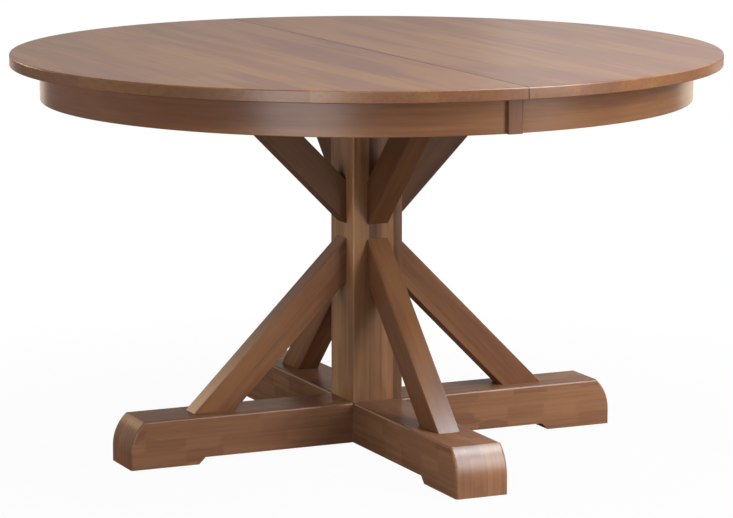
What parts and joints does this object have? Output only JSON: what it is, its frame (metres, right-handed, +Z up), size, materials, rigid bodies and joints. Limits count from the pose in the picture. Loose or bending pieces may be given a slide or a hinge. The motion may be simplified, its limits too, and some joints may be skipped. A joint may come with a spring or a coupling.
{
  "type": "round table",
  "caption": "Round wooden extension table with a split top, curved apron and a braced pedestal on a cross foot; the halves draw apart on geared slides.",
  "frame": {"origin": "on the floor under the pedestal's axis, the middle of the table's footprint", "axes": "+Z up along the post, X the way the two halves of the top draw apart, Y along the seam, with the front at -Y"},
  "size_m": [1.3714, 1.3716, 0.7747],
  "materials": {
    "top_wood": "satin",
    "apron_wood": "satin",
    "pedestal_wood": "satin",
    "foot_wood": "satin",
    "inner_wood": "matte",
    "dowel_wood": "matte",
    "nylon": "matte",
    "gear_nylon": "matte",
    "zinc_steel": "satin",
    "lock_brass": "satin"
  },
  "bodies": {
    "pedestal": {"board_screws": "zinc_steel", "centre_rail_back": "inner_wood", "centre_rail_front": "inner_wood", "cleat_front_back": "inner_wood", "cleat_lag_bolts": "zinc_steel", "cleat_left_right": "inner_wood", "cleat_washers": "zinc_steel", "foot_beam_front_back": "foot_wood", "foot_beam_left_right": "foot_wood", "foot_glides": "nylon", "foot_lag_bolts": "zinc_steel", "foot_washers": "zinc_steel", "gear_axle_back": "zinc_steel", "gear_axle_front": "zinc_steel", "lower_brace_back": "pedestal_wood", "lower_brace_dowels": "dowel_wood", "lower_brace_front": "pedestal_wood", "lower_brace_left": "pedestal_wood", "lower_brace_right": "pedestal_wood", "lower_brace_screws": "zinc_steel", "mounting_board": "inner_wood", "post": "pedestal_wood", "rail_screws": "zinc_steel", "upper_brace_back": "pedestal_wood", "upper_brace_dowels": "dowel_wood", "upper_brace_front": "pedestal_wood", "upper_brace_left": "pedestal_wood", "upper_brace_right": "pedestal_wood", "upper_brace_screws": "zinc_steel"},
    "left_half": {"top_left": "top_wood", "apron_left": "apron_wood", "apron_blocks_left": "inner_wood", "cover_strip_back": "apron_wood", "runner_left_front": "inner_wood", "runner_left_back": "inner_wood", "rack_left_front": "gear_nylon", "rack_left_back": "gear_nylon", "runner_screws_left": "zinc_steel", "lock_plates": "lock_brass", "lock_pivots": "lock_brass", "lock_plate_screws": "zinc_steel"},
    "right_half": {"top_right": "top_wood", "apron_right": "apron_wood", "apron_blocks_right": "inner_wood", "cover_strip_front": "apron_wood", "runner_right_front": "inner_wood", "runner_right_back": "inner_wood", "rack_right_front": "gear_nylon", "rack_right_back": "gear_nylon", "runner_screws_right": "zinc_steel", "catch_plates": "lock_brass", "catch_studs": "lock_brass", "catch_plate_screws": "zinc_steel", "alignment_pins": "dowel_wood"},
    "front_pinion": {"pinion_front": "gear_nylon"},
    "back_pinion": {"pinion_back": "gear_nylon"},
    "front_lock": {"lock_lever_front": "lock_brass"},
    "back_lock": {"lock_lever_back": "lock_brass"}
  },
  "joints": [
    {"name": "left_slide", "type": "slide", "parent": "pedestal", "child": "left_half", "axis": [-1, 0, 0], "range_m": [0, 0.3048]},
    {"name": "right_slide", "type": "slide", "parent": "pedestal", "child": "right_half", "axis": [1, 0, 0], "range_m": [0, 0.3048]},
    {"name": "front_pinion_spin", "type": "hinge", "parent": "pedestal", "child": "front_pinion", "pos_m": [0, -0.17, 0.7137], "axis": [0, 0, -1], "range_deg": [0, 832.6]},
    {"name": "back_pinion_spin", "type": "hinge", "parent": "pedestal", "child": "back_pinion", "pos_m": [0, 0.17, 0.7137], "axis": [0, 0, -1], "range_deg": [0, 832.6]},
    {"name": "front_lock_swing", "type": "hinge", "parent": "left_half", "child": "front_lock", "pos_m": [-0.024, -0.47, 0.7485], "axis": [0, 0, -1], "range_deg": [0, 90]},
    {"name": "back_lock_swing", "type": "hinge", "parent": "left_half", "child": "back_lock", "pos_m": [-0.024, 0.47, 0.7485], "axis": [0, 0, -1], "range_deg": [0, 90]}
  ],
  "couplings": [
    {"joint": "right_slide", "follows": "left_slide", "ratio": 1},
    {"joint": "front_pinion_spin", "follows": "left_slide", "rad_per_m": 47.619},
    {"joint": "back_pinion_spin", "follows": "left_slide", "rad_per_m": 47.619}
  ]
}
